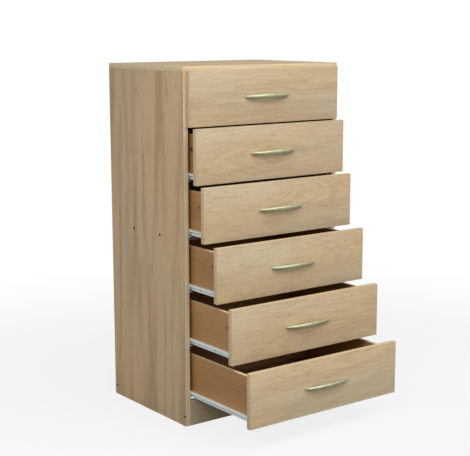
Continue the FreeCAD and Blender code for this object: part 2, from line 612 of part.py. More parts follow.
def handle_piece():
    """A bow handle: an arc in plan, a slim lens in elevation, blunt at its ends, cast with its two feet."""
    front, reach = "-Sizes.board", "Fits.handle_half"

    def arc_radius(half_chord, rise):
        return f"(({half_chord}) ^ 2 + ({rise}) ^ 2) / (2 * ({rise}))"

    def standing(name, radius, crown):
        disc = doc.addObject("Part::Cylinder", name)
        disc.setExpression("Radius", radius)
        disc.setExpression("Height", "2 * Sizes.handle_middle")
        return put(disc, ("0", f"{front} - ({crown}) + {radius}", f"{HANDLE_Z} - Sizes.handle_middle"))

    def lying(name, sign):
        radius = arc_radius(reach, "(Sizes.handle_middle - Sizes.handle_end) / 2")
        disc = doc.addObject("Part::Cylinder", name)
        disc.setExpression("Radius", radius)
        disc.setExpression("Height", "2 * Sizes.handle_rise")
        away = f"{radius} - Sizes.handle_middle / 2"
        return put(disc, ("0", f"{front} - 2 * Sizes.handle_rise", f"{HANDLE_Z} {sign} ({away})"),
                   LYING_ALONG_Y)

    outer = standing("handle_outer_arc", arc_radius(reach, "Sizes.handle_rise - Sizes.handle_end_rise"),
                     "Sizes.handle_rise")
    inner = standing("handle_inner_arc", arc_radius("Fits.opening_half", "Fits.opening_rise"),
                     "Fits.opening_rise")
    ahead = block("ahead_of_front",
                  (f"-{reach}", f"{front} - 2 * Sizes.handle_rise", f"{HANDLE_Z} - Sizes.handle_middle"),
                  (f"2 * {reach}", "2 * Sizes.handle_rise", "2 * Sizes.handle_middle"))
    lens = doc.addObject("Part::MultiCommon", "handle_lens")
    lens.Shapes = [outer, ahead, lying("handle_upper_arc", "-"), lying("handle_lower_arc", "+")]
    threads = [drill(f"handle_thread_{i}", "Sizes.handle_screw", "Sizes.handle_screw_bite + Sizes.end_play",
                     (x, front, HANDLE_Z), LYING_ALONG_MINUS_Y)
               for i, x in enumerate(HANDLE_SCREWS_X, start=1)]
    sharp = cut("sharp_handle", lens, [inner] + threads)
    doc.recompute()
    rounded = doc.addObject("Part::Fillet", "handle")
    rounded.Base = sharp
    radius = number("Sizes.handle_round")
    front_face = number(front)
    chord = number(f"2 * {reach}")
    rounded.Edges = [
        (i, radius, radius)
        for i, edge in enumerate(sharp.Shape.Edges, start=1)
        if edge.Length > chord and edge.CenterOfMass.y < front_face - radius
    ]
    return rounded


def drawer_bores():
    """Every bore that the boards on a drawer's left half share with its fixings."""
    outer = "-Fits.box_half"
    bores = [
        drill("box_cam_bore", "Sizes.box_cam", "Sizes.box_cam_depth",
              (outer, "Sizes.box_cam_inset", BOX_CAM_Z), LYING_ALONG_X),
        drill("box_bolt_way", "Sizes.bolt_collar", "Sizes.box_cam_inset", (BOX_SIDE_MIDDLE_X, "0", BOX_CAM_Z),
              LYING_ALONG_Y),
        drill("box_bolt_pilot", "Sizes.bolt", "Sizes.bolt_thread + Sizes.end_play",
              (BOX_SIDE_MIDDLE_X, "0", BOX_CAM_Z), LYING_ALONG_MINUS_Y),
        drill("handle_hole", "Sizes.handle_screw", "Sizes.board", (HANDLE_SCREWS_X[0], "0", HANDLE_Z),
              LYING_ALONG_MINUS_Y),
    ]
    for i, y in enumerate(MEMBER_SCREWS_Y, start=1):
        bores.append(drill(f"member_pilot_{i}", "Sizes.wood_screw",
                           "Sizes.member_screw_length - Sizes.runner_steel + Sizes.end_play",
                           (outer, y, "Fits.member_screw_z"), LYING_ALONG_X))
    for i, z in enumerate(BOX_SCREWS_Z, start=1):
        bores.append(drill(f"box_screw_bore_{i}", "Sizes.wood_screw",
                           "Sizes.box_screw_length + Sizes.end_play",
                           (outer, BOX_SCREWS_Y, z), LYING_ALONG_X))
    return gather("drawer_bores", bores)


def fixing_set():
    """All the fasteners of one drawer: cam fittings, member screws, box screws and handle screws."""
    head = ("Sizes.wood_screw_head", "Sizes.wood_screw_head_height")
    cam = cam_fitting("box_fitting", "Sizes.box_cam", "Sizes.box_cam_depth", "Sizes.box_cam_inset",
                      "Sizes.box_board")
    member_screw = screw_master("member_screw", "Sizes.wood_screw", "Sizes.member_screw_length", *head)
    box_screw = screw_master("box_screw", "Sizes.wood_screw", "Sizes.box_screw_length", *head)
    handle_screw = screw_master("handle_screw", "Sizes.handle_screw", "Sizes.board + Sizes.handle_screw_bite",
                                "Sizes.handle_screw_head", "Sizes.handle_screw_head_height")
    left = gather("left_fixings", [
        copy(cam, (BOX_SIDE_MIDDLE_X, "0", BOX_CAM_Z), LYING_ALONG_MINUS_X),
        copy(handle_screw, (HANDLE_SCREWS_X[0], "0", HANDLE_Z), LYING_ALONG_Y),
    ] + [
        copy(member_screw, ("-Fits.box_half - Sizes.runner_steel", y, "Fits.member_screw_z"),
             LYING_ALONG_MINUS_X) for y in MEMBER_SCREWS_Y
    ] + [
        copy(box_screw, ("-Fits.box_half", BOX_SCREWS_Y, z), LYING_ALONG_MINUS_X) for z in BOX_SCREWS_Z
    ])
    return gather("fixings", [left, mirrored(left)])


def drawer_pieces():
    """The pieces of one drawer, as a list of name ending and piece."""
    bores = drawer_bores()
    both_bores = [bores, mirrored(bores)]
    groove_half = "(Fits.box_inner_half + Sizes.groove_depth)"
    groove = block("bottom_groove", (f"-{groove_half}", "-Sizes.groove_depth", "Fits.groove_z"),
                   (f"2 * {groove_half}", "Fits.box_back_y + 2 * Sizes.groove_depth", "Fits.groove_height"))

    front = block("front_blank", ("-Fits.front_half", "-Sizes.board", "0"),
                  ("2 * Fits.front_half", "Sizes.board", "Fits.front_height"))
    side = block("box_side_blank", ("-Fits.box_half", "0", "Sizes.box_lift"),
                 ("Sizes.box_board", "Fits.box_length", "Fits.box_height"))
    left = cut("box_side", side, [bores, groove])
    back = block("box_back_blank", ("-Fits.box_inner_half", "Fits.box_back_y", "Sizes.box_lift"),
                 ("2 * Fits.box_inner_half", "Sizes.box_board", "Fits.box_height"))
    bottom = block(
        "box_bottom", (f"-{groove_half} + Sizes.groove_play", "-Sizes.groove_depth + Sizes.groove_play",
                       "Fits.groove_z + Sizes.groove_play"),
        (f"2 * ({groove_half} - Sizes.groove_play)",
         "Fits.box_back_y + 2 * (Sizes.groove_depth - Sizes.groove_play)", "Sizes.base_board"))
    return (
        ("front", cut("front", front, both_bores + [groove])),
        ("box_boards", gather("box_boards", [
            left, mirrored(left), cut("box_back", back, both_bores + [groove])])),
        ("bottom", bottom),
        ("handle", handle_piece()),
        ("runner_members", member_pair()),
        ("fixings", fixing_set()),
    )


def make_drawers():
    """Six placed copies of the drawer and of its rear rollers, each as far open as it stands."""
    pieces = drawer_pieces()
    rollers = roller_pair("rear_roller_pair", "Sizes.rear_roller")
    for n in DRAWERS:
        out = f"-Sizes.front_standoff - Fits.travel * Sizes.percent_open_{n} / 100"
        for ending, piece in pieces:
            node(f"drawer_{n}_{ending}", piece, ("0", out, front_bottom(n)))
        node(f"drawer_{n}_rear_rollers", rollers,
             ("0", f"{out} + {REAR_AXLE_Y}", f"{front_bottom(n)} + Fits.axle_z"))


def write_parts():
    """Checks the document, then writes one STEP file for each sub-part."""
    doc.recompute()
    for obj in doc.Objects:
        if "Invalid" in obj.State or "Error" in obj.State:
            raise RuntimeError(f"{obj.Label} did not build: {obj.State}")
    os.makedirs("parts", exist_ok=True)
    for part in nodes:
        shape = part.Shape
        if shape.isNull() or not shape.Solids or not shape.isValid():
            raise RuntimeError(f"{part.Label} has no valid shape")
        shape.exportStep(f"parts/{part.Label}.step")
    print(len(nodes), "sub-parts,", sum(len(part.Shape.Solids) for part in nodes), "solids")


fill_sheet()
make_carcase()
make_carcase_fasteners()
make_runners()
make_drawers()
write_parts()
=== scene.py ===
"""Tall chest of six drawers: finishes, eased boards, bow handles and a plain studio round the CAD frame."""

import sys
import logging
import math
from dataclasses import dataclass, field
from enum import Enum
from typing import ClassVar

import bmesh
import bpy
from mathutils import Matrix, Vector


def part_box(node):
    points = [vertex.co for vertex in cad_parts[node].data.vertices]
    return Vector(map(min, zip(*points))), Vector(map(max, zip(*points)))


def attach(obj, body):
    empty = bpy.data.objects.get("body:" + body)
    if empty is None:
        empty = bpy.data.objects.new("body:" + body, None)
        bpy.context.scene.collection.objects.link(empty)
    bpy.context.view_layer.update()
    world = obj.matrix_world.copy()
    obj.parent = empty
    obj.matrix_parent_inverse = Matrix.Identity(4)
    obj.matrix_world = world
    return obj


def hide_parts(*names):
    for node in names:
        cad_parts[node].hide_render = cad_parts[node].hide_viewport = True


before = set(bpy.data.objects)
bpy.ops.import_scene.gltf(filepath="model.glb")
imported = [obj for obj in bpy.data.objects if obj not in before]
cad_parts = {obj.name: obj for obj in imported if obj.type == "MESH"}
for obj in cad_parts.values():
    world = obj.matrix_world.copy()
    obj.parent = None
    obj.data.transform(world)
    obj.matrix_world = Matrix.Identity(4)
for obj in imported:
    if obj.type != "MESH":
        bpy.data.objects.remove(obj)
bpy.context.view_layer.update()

LOG = logging.getLogger("chest")
Colour = tuple[float, float, float]
MM = 0.001
DRAWERS = (1, 2, 3, 4, 5, 6)
LEFT, RIGHT, FRONT, REAR, DOWN, UP = ((axis, way) for axis in range(3) for way in (-1, 1))
NOISE_RANGE = (0.2, 0.8)
WHITE = (1.0, 1.0, 1.0, 1.0)


class Grain(Enum):
    """The way the fibres run on a board, as the turn that lays them along the pattern's X axis."""

    ACROSS = (0.0, 0.0, 0.0)
    UPRIGHT = (0.0, math.radians(90), 0.0)
    DEEP = (0.0, 0.0, math.radians(-90))


class Graph:
    """A material's node tree with short calls for adding and joining nodes."""

    def __init__(self, name: str) -> None:
        """Starts an empty node material.

        Args:
            name: The material's name.
        """
        self.material = bpy.data.materials.new(name)
        self.material.use_nodes = True
        self.tree = self.material.node_tree
        self.tree.nodes.clear()

    def add(self, kind: str, inputs: dict | None = None, **settings: object) -> bpy.types.Node:
        """Adds a node.

        Args:
            kind: The node's type, without its ShaderNode prefix.
            inputs: Socket name or number to a value, or to the socket that feeds it.
            settings: The node's own properties.

        Returns:
            The new node.
        """
        node = self.tree.nodes.new("ShaderNode" + kind)
        for key, value in settings.items():
            setattr(node, key, value)
        for key, value in (inputs or {}).items():
            if isinstance(value, bpy.types.NodeSocket):
                self.tree.links.new(value, node.inputs[key])
            else:
                node.inputs[key].default_value = value
        return node

    def math(self, operation: str, first: object, second: object = 0.0) -> bpy.types.NodeSocket:
        """One sum on two numbers or sockets; returns the result's socket."""
        return self.add("Math", {0: first, 1: second}, operation=operation).outputs[0]

    def object_point(self, turn: tuple = (0, 0, 0)) -> bpy.types.NodeSocket:
        """The place on the piece in metres, turned about its origin."""
        place = self.add("TexCoord").outputs["Object"]
        return self.add("Mapping", {"Vector": place, "Rotation": turn}).outputs[0]

    def stretch(self, point: bpy.types.NodeSocket, scale: tuple) -> bpy.types.NodeSocket:
        """The same point stretched along its axes."""
        return self.add("Mapping", {"Vector": point, "Scale": scale}).outputs[0]

    def noise(self, point: bpy.types.NodeSocket, detail: float, rough: float) -> bpy.types.NodeSocket:
        """Smooth noise from 0 to 1 at a point."""
        node = self.add("TexNoise", {"Vector": point, "Scale": 1.0, "Detail": detail, "Roughness": rough})
        return node.outputs[0]

    def span(self, value: bpy.types.NodeSocket, low: float, high: float, to_low: float = 0.0,
             to_high: float = 1.0) -> bpy.types.NodeSocket:
        """Moves a value smoothly from one range to another.

        Args:
            value: The value's socket.
            low: Where its range starts.
            high: Where its range ends.
            to_low: What the start becomes.
            to_high: What the end becomes.

        Returns:
            The moved value's socket.
        """
        node = self.add("MapRange", {"Value": value, "From Min": low, "From Max": high,
                                     "To Min": to_low, "To Max": to_high}, interpolation_type="SMOOTHSTEP")
        return node.outputs[0]

    def spread(self, noise: bpy.types.NodeSocket, low: float, high: float) -> bpy.types.NodeSocket:
        """A noise's usual range moved to another one."""
        return self.span(noise, *NOISE_RANGE, low, high)

    def white_glow(self) -> bpy.types.NodeSocket:
        """White light of the backdrop's brightness."""
        return self.add("Emission", {"Color": WHITE, "Strength": 1.0}).outputs[0]

    def mix(self, share: object, first: object, second: object) -> bpy.types.NodeSocket:
        """Mixes two colours.

        Args:
            share: How much of the second there is, as a number or a socket.
            first: The first colour, as a socket or three numbers.
            second: The second colour, as a socket or three numbers.

        Returns:
            The mixed colour's socket.
        """
        node = self.add("Mix", {0: share}, data_type="RGBA")
        for place, value in ((6, first), (7, second)):
            if isinstance(value, bpy.types.NodeSocket):
                self.tree.links.new(value, node.inputs[place])
            else:
                node.inputs[place].default_value = (*value, 1.0)
        return node.outputs[2]

    def surface(self, height: bpy.types.NodeSocket | None = None, depth: float = 0.0,
                **inputs: object) -> bpy.types.Material:
        """Closes the tree with one principled surface.

        Args:
            height: A height from 0 to 1 for the bump, if there is one.
            depth: The bump's depth in metres.
            inputs: Principled sockets by name, with _ for a space.

        Returns:
            The finished material.
        """
        named = {key.replace("_", " "): value for key, value in inputs.items()}
        if height is not None:
            bump = self.add("Bump", {"Height": height, "Distance": depth, "Strength": 1.0})
            named["Normal"] = bump.outputs[0]
        shader = self.add("BsdfPrincipled", named)
        self.add("OutputMaterial", {"Surface": shader.outputs[0]})
        return self.material


# ---- finishes ------------------------------------------------------------------------------------------

@dataclass(frozen=True)
class Layer:
    """One layer of a finish's figure: smooth noise, and the part of its range that shows.

    Attributes:
        scale: The noise's scale along each axis, per metre; a low one draws it out along that axis.
        start: The noise's value where the layer starts to show.
        full: The noise's value where it shows fully.
        detail: How many finer noises are added to it.
        rough: How strong the finer ones are.
    """

    scale: tuple[float, float, float]
    start: float = 0.3
    full: float = 0.7
    detail: float = 3.0
    rough: float = 0.5

    def noise(self, g: Graph, point: bpy.types.NodeSocket) -> bpy.types.NodeSocket:
        """The layer's noise at a point, from 0 to 1."""
        return g.noise(g.stretch(point, self.scale), self.detail, self.rough)

    def shown(self, g: Graph, noise: bpy.types.NodeSocket, most: float = 1.0,
              least: float = 0.0) -> bpy.types.NodeSocket:
        """How much of the layer shows where its noise has that value, from least to most."""
        return g.span(noise, self.start, self.full, least, most)


@dataclass(frozen=True)
class OakFoil:
    """Pale oak foil: growth rings cut at a slant, so that they open into arches, with streaks and pores.

    Attributes:
        name: The material's name.
        grain: The way its fibres run.
        heart: Where the frame's origin lies from the middle of the tree: along, across and behind.
        slant: How far the tree leans across and behind, as angles.
        cool: The pale greyish ground.
        warm: The pale tan ground beside it.
        brown: The late wood of rings, streaks and pores.
        ring_step: The distance between two rings, in metres.
        ring_wander: How far the rings wander from round, in metres.
        rings: How strongly the rings show.
        faintest: How much of the rings is left where they fade.
        bands: How strongly the broad bands show.
        band_pitch: How many bands there are to a metre.
        streaks: How strongly the fine streaks show.
        blotches: How strongly the darker blotches show.
        fibres: How strongly the fibres show.
        pores: How strongly the pores show.
        rough: Its roughness, from the smoothest fibres to the roughest.
        relief: How deep its fibres and pores are, in metres.
    """

    name: str
    grain: Grain
    heart: tuple[float, float, float] = (0.0, 0.0, 0.0)
    slant: tuple[float, float] = (0.02, 0.10)
    cool: Colour = (0.575, 0.470, 0.303)
    warm: Colour = (0.600, 0.445, 0.262)
    brown: Colour = (0.310, 0.195, 0.098)
    ring_step: float = 7.5 * MM
    ring_wander: float = 45 * MM
    rings: float = 0.17
    faintest: float = 0.15
    bands: float = 0.20
    band_pitch: float = 34.0
    streaks: float = 0.24
    blotches: float = 0.12
    fibres: float = 0.15
    pores: float = 0.22
    rough: tuple[float, float] = (0.40, 0.54)
    relief: float = 0.06 * MM

    late_rise: ClassVar[tuple[float, float]] = (0.45, 0.90)
    late_fall: ClassVar[tuple[float, float]] = (0.91, 1.0)
    wander: ClassVar[Layer] = Layer((2.6, 11.0, 11.0), detail=4.0)
    fade: ClassVar[Layer] = Layer((3.0, 7.0, 7.0), 0.36, 0.62, detail=1.0)
    cloud: ClassVar[Layer] = Layer((2.0, 8.0, 8.0), 0.36, 0.64)
    streak: ClassVar[Layer] = Layer((2.6, 150.0, 150.0), 0.46, 0.70, rough=0.6)
    blotch: ClassVar[Layer] = Layer((11.0, 40.0, 40.0), 0.61, 0.76, detail=2.0)
    fibre: ClassVar[Layer] = Layer((9.0, 520.0, 520.0), 0.40, 0.68, detail=4.0, rough=0.62)
    pore: ClassVar[Layer] = Layer((34.0, 1100.0, 1100.0), 0.62, 0.76, detail=2.0, rough=0.6)

    def ring_line(self, g: Graph, point: bpy.types.NodeSocket) -> bpy.types.NodeSocket:
        """The dark late-wood line of each ring, from 0 to 1.

        Args:
            g: The graph.
            point: The place, with the fibres along X and the heart at Y = 0, Z = 0.

        Returns:
            The line's socket.
        """
        parts = g.add("SeparateXYZ", {0: point}).outputs
        distance = g.math("SQRT", g.math("ADD", g.math("MULTIPLY", parts[1], parts[1]),
                                         g.math("MULTIPLY", parts[2], parts[2])))
        moved = g.math("ADD", distance, g.math("MULTIPLY", self.wander.noise(g, point), self.ring_wander))
        phase = g.math("FRACT", g.math("DIVIDE", moved, self.ring_step))
        return g.math("MULTIPLY", g.span(phase, *self.late_rise), g.span(phase, *self.late_fall, 1.0, 0.0))

    def build(self) -> bpy.types.Material:
        """Builds the foil's material.

        Returns:
            The material.
        """
        g = Graph(self.name)
        point = g.add("Mapping", {"Vector": g.object_point(self.grain.value), "Location": self.heart,
                                  "Rotation": (0.0, *self.slant)}).outputs[0]
        band = Layer((1.1, self.band_pitch, self.band_pitch), 0.44, 0.68, rough=0.55)
        fibre = self.fibre.noise(g, point)
        pore = self.pore.shown(g, self.pore.noise(g, point))
        fade = self.fade.shown(g, self.fade.noise(g, point), least=self.faintest)
        line = g.math("MULTIPLY", self.ring_line(g, point), fade)
        colour = g.mix(self.cloud.shown(g, self.cloud.noise(g, point)), self.cool, self.warm)
        for share in (
            g.math("MULTIPLY", line, self.rings),
            band.shown(g, band.noise(g, point), self.bands),
            self.streak.shown(g, self.streak.noise(g, point), self.streaks),
            self.blotch.shown(g, self.blotch.noise(g, point), self.blotches),
            self.fibre.shown(g, fibre, self.fibres),
            g.math("MULTIPLY", pore, self.pores),
        ):
            colour = g.mix(share, colour, self.brown)
        return g.surface(g.math("SUBTRACT", fibre, pore), self.relief, Base_Color=colour,
                         Roughness=g.spread(fibre, *self.rough))


@dataclass(frozen=True)
class Edging:
    """Thin edging strip, with a light grain along its run.

    Attributes:
        name: The material's name.
        grain: The way its fibres run.
        pale: Its ground.
        tan: Its streaks.
        rough: Its roughness, from the smoothest streaks to the roughest.
        relief: How deep its streaks are, in metres.
    """

    name: str
    grain: Grain
    pale: Colour = (0.720, 0.590, 0.380)
    tan: Colour = (0.560, 0.435, 0.255)
    rough: tuple[float, float] = (0.38, 0.48)
    relief: float = 0.04 * MM

    streak: ClassVar[Layer] = Layer((3.0, 260.0, 260.0), 0.32, 0.70, rough=0.6)

    def build(self) -> bpy.types.Material:
        """Builds the edging's material.

        Returns:
            The material.
        """
        g = Graph(self.name)
        streak = self.streak.noise(g, g.object_point(self.grain.value))
        colour = g.mix(self.streak.shown(g, streak), self.pale, self.tan)
        return g.surface(streak, self.relief, Base_Color=colour, Roughness=g.spread(streak, *self.rough))


@dataclass(frozen=True)
class BrownFoil:
    """Flat brown foil of the drawer sides, with a faint print of grain.

    Attributes:
        name: The material's name.
        light: Its ground.
        dark: The tone it clouds over to.
        clouds: How strongly broad clouds show.
        fibres: How strongly fibres show.
        rough: Its roughness, from the smoothest fibres to the roughest.
        relief: How deep its fibres are, in metres.
    """

    name: str = "brown_foil"
    light: Colour = (0.440, 0.238, 0.090)
    dark: Colour = (0.350, 0.176, 0.060)
    clouds: float = 0.6
    fibres: float = 0.4
    rough: tuple[float, float] = (0.42, 0.55)
    relief: float = 0.03 * MM

    cloud: ClassVar[Layer] = Layer((3.0, 12.0, 12.0))
    fibre: ClassVar[Layer] = Layer((10.0, 300.0, 300.0), rough=0.6)

    def build(self) -> bpy.types.Material:
        """Builds the brown foil's material.

        Returns:
            The material.
        """
        g = Graph(self.name)
        point = g.object_point(Grain.DEEP.value)
        fibre = self.fibre.noise(g, point)
        share = g.math("ADD", self.cloud.shown(g, self.cloud.noise(g, point), self.clouds),
                       self.fibre.shown(g, fibre, self.fibres))
        return g.surface(fibre, self.relief, Base_Color=g.mix(share, self.light, self.dark),
                         Roughness=g.spread(fibre, *self.rough))


@dataclass(frozen=True)
class Chipboard:
    """Raw chipboard as it shows in bores, grooves and on edges that aren't edged.

    Attributes:
        name: The material's name.
        pale: Its palest chips.
        dark: Its darkest chips.
        chips: How many chips there are to a metre along each axis.
        contrast: The chips' tones, from 0 to 1, that are the palest and the darkest.
        rough: Its roughness.
        relief: How deep it is between chips, in metres.
    """

    name: str = "chipboard"
    pale: Colour = (0.430, 0.310, 0.180)
    dark: Colour = (0.170, 0.105, 0.055)
    chips: tuple[float, float, float] = (420.0, 420.0, 700.0)
    contrast: tuple[float, float] = (0.1, 0.9)
    rough: float = 0.85
    relief: float = 0.3 * MM

    def build(self) -> bpy.types.Material:
        """Builds the chipboard's material.

        Returns:
            The material.
        """
        g = Graph(self.name)
        cells = g.add("TexVoronoi", {"Vector": g.stretch(g.object_point(), self.chips), "Scale": 1.0},
                      feature="F1").outputs["Color"]
        tone = g.add("SeparateColor", {"Color": cells}).outputs[0]
        colour = g.mix(g.span(tone, *self.contrast), self.pale, self.dark)
        return g.surface(tone, self.relief, Base_Color=colour, Roughness=self.rough)


@dataclass(frozen=True)
class Hardboard:
    """Thin hardboard with a fine felted face.

    Attributes:
        name: The material's name.
        light: Its ground.
        dark: Its darker fibres.
        felts: How strongly the felted fibres show.
        clouds: How strongly broad clouds show.
        rough: Its roughness, from the smoothest clouds to the roughest.
        relief: How deep the felt is, in metres.
    """

    name: str
    light: Colour
    dark: Colour
    felts: float = 0.45
    clouds: float = 0.35
    rough: tuple[float, float] = (0.6, 0.75)
    relief: float = 0.1 * MM

    felt: ClassVar[Layer] = Layer((700.0, 700.0, 700.0), detail=4.0, rough=0.7)
    cloud: ClassVar[Layer] = Layer((9.0, 9.0, 9.0))

    def build(self) -> bpy.types.Material:
        """Builds the hardboard's material.

        Returns:
            The material.
        """
        g = Graph(self.name)
        point = g.object_point()
        felt, cloud = self.felt.noise(g, point), self.cloud.noise(g, point)
        share = g.math("ADD", self.felt.shown(g, felt, self.felts), self.cloud.shown(g, cloud, self.clouds))
        smooth, coarse = self.rough
        return g.surface(felt, self.relief, Base_Color=g.mix(share, self.light, self.dark),
                         Roughness=self.cloud.shown(g, cloud, coarse, smooth))


@dataclass(frozen=True)
class Epoxy:
    """White epoxy coat on rolled steel, a little uneven, with painted shade in darker streaks along it.

    Attributes:
        name: The material's name.
        clean: The coat's colour.
        shade_grey: A darker bluish grey, painted shade that shows in streaks along the runner for the band
            under its top flange.
        rough: Its roughness outside the streaks and in them.
        gloss: The weight and the roughness of the clear coat over it.
        relief: How deep its orange peel is, in metres.
    """

    name: str = "white_epoxy"
    clean: Colour = (0.780, 0.880, 0.860)
    shade_grey: Colour = (0.560, 0.650, 0.660)
    rough: tuple[float, float] = (0.26, 0.44)
    gloss: tuple[float, float] = (0.25, 0.15)
    relief: float = 0.03 * MM

    peel: ClassVar[Layer] = Layer((900.0, 900.0, 900.0), detail=2.0)
    # Painted shade: streaks along the runner where a darker bluish grey shows, for the shaded band under the
    # top flange.
    shade_streak: ClassVar[Layer] = Layer((300.0, 12.0, 300.0), 0.48, 0.80, rough=0.6)
    worn: ClassVar[tuple[float, float]] = (0.3, 0.8)

    def build(self) -> bpy.types.Material:
        """Builds the coat's material.

        Returns:
            The material.
        """
        g = Graph(self.name)
        point = g.object_point()
        shade_streak = self.shade_streak.noise(g, point)
        # Painted shade: the darker bluish grey is mixed into the coat in those streaks.
        colour = g.mix(self.shade_streak.shown(g, shade_streak), self.clean, self.shade_grey)
        weight, coat_rough = self.gloss
        return g.surface(self.peel.noise(g, point), self.relief, Base_Color=colour,
                         Roughness=g.span(shade_streak, *self.worn, *self.rough), Coat_Weight=weight,
                         Coat_Roughness=coat_rough)


@dataclass(frozen=True)
class PlatedMetal:
    """Plated metal, brushed along one axis, with a little clouding.

    Attributes:
        name: The material's name.
        bright: Its colour where it is bright.
        dull: Its colour where it is clouded.
        rough: Its roughness.
        lacquer: The weight of the lacquer over it.
        lacquer_rough: The lacquer's roughness.
        unevenness: What the brushing adds to the roughness, from its smoothest lines to its roughest.
        relief: How deep the brushing is, in metres.
    """

    name: str
    bright: Colour
    dull: Colour
    rough: float = 0.3
    lacquer: float = 0.0
    lacquer_rough: float = 0.28
    unevenness: tuple[float, float] = (-0.05, 0.07)
    relief: float = 0.012 * MM

    brush: ClassVar[Layer] = Layer((30.0, 900.0, 900.0), 0.25, 0.75, rough=0.6)
    cloud: ClassVar[Layer] = Layer((60.0, 60.0, 60.0), 0.3, 0.75, detail=2.0)

    def build(self) -> bpy.types.Material:
        """Builds the metal's material.

        Returns:
            The material.
        """
        g = Graph(self.name)
        point = g.object_point()
        brush = self.brush.noise(g, point)
        colour = g.mix(self.cloud.shown(g, self.cloud.noise(g, point)), self.bright, self.dull)
        smooth, coarse = self.unevenness
        rough = g.math("ADD", self.brush.shown(g, brush, coarse, smooth), self.rough)
        return g.surface(brush, self.relief, Base_Color=colour, Roughness=rough, Metallic=1.0,
                         Coat_Weight=self.lacquer, Coat_Roughness=self.lacquer_rough)


@dataclass(frozen=True)
class Nylon:
    """Moulded white nylon of the rollers.

    Attributes:
        name: The material's name.
        clean: Its own colour.
        worn: Its colour where it is worn.
        rough: Its roughness, from its smoothest places to its roughest.
        relief: How uneven it is, in metres.
    """

    name: str = "nylon"
    clean: Colour = (0.720, 0.720, 0.680)
    worn: Colour = (0.500, 0.490, 0.450)
    rough: tuple[float, float] = (0.35, 0.5)
    relief: float = 0.04 * MM

    wear: ClassVar[Layer] = Layer((260.0, 260.0, 260.0), 0.45, 0.8)
    uneven: ClassVar[tuple[float, float]] = (0.3, 0.7)

    def build(self) -> bpy.types.Material:
        """Builds the nylon's material.

        Returns:
            The material.
        """
        g = Graph(self.name)
        wear = self.wear.noise(g, g.object_point())
        return g.surface(wear, self.relief, Base_Color=g.mix(self.wear.shown(g, wear), self.clean, self.worn),
                         Roughness=g.span(wear, *self.uneven, *self.rough))


@dataclass(frozen=True)
class StagePaint:
    """Plain pale floor that fades to the backdrop's white away from the chest.

    Attributes:
        name: The material's name.
        tint: The matt floor's colour.
        glow: How white it is of itself, near the chest and far from it.
        fade: The distances from the middle of the floor between which it fades, in metres.
        rough: Its roughness.
    """

    name: str
    tint: Colour
    glow: tuple[float, float] = (0.0, 0.0)
    fade: tuple[float, float] = (1.0, 2.4)
    rough: float = 0.85

    def build(self) -> bpy.types.Material:
        """Builds the floor's material.

        Returns:
            The material.
        """
        g = Graph(self.name)
        away = g.add("VectorMath", {0: g.object_point()}, operation="LENGTH").outputs["Value"]
        matt = g.add("BsdfPrincipled", {"Base Color": (*self.tint, 1.0), "Roughness": self.rough})
        share = g.span(away, *self.fade, *self.glow)
        both = g.add("MixShader", {0: share, 1: matt.outputs[0], 2: g.white_glow()})
        g.add("OutputMaterial", {"Surface": both.outputs[0]})
        return g.material


# ---- pieces --------------------------------------------------------------------------------------------

class Kind(Enum):
    """What a board's face is: its two broad faces, its edges, or raw wood inside bores and grooves."""

    BROAD = 0
    EDGE = 1
    RAW = 2


def middle(node: str) -> Vector:
    """The middle of a node's box at rest."""
    low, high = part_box(node)
    return (Vector(low) + Vector(high)) / 2


def show(mesh: bmesh.types.BMesh, name: str, body: str, slot: str, materials: list[bpy.types.Material],
         replaced: tuple[str, ...] = ()) -> bpy.types.Object:
    """Turns a bmesh into a piece that rides on a body.

    Args:
        mesh: The shape, in place; it is freed.
        name: The piece's name.
        body: The body it rides on.
        slot: The material slot it would go under; not used.
        materials: Its materials, in the order of its faces' material numbers.
        replaced: The nodes it stands for.

    Returns:
        The new object.
    """
    data = bpy.data.meshes.new(name)
    mesh.to_mesh(data)
    mesh.free()
    for material in materials:
        data.materials.append(material)
    piece = bpy.data.objects.new(name, data)
    bpy.context.scene.collection.objects.link(piece)
    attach(piece, body)
    if replaced:
        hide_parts(*replaced)
    LOG.info("%s: %d faces on %s", name, len(data.polygons), body)
    return piece


def dress(node: str, *materials: bpy.types.Material) -> None:
    """Gives a node its own material in place of the plain one.

    Args:
        node: The node.
        materials: Its materials, in the order of its faces' material numbers.
    """
    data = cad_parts[node].data
    data.materials.clear()
    for material in materials:
        data.materials.append(material)
    LOG.info("%s: dressed in %s", node, ", ".join(material.name for material in materials))


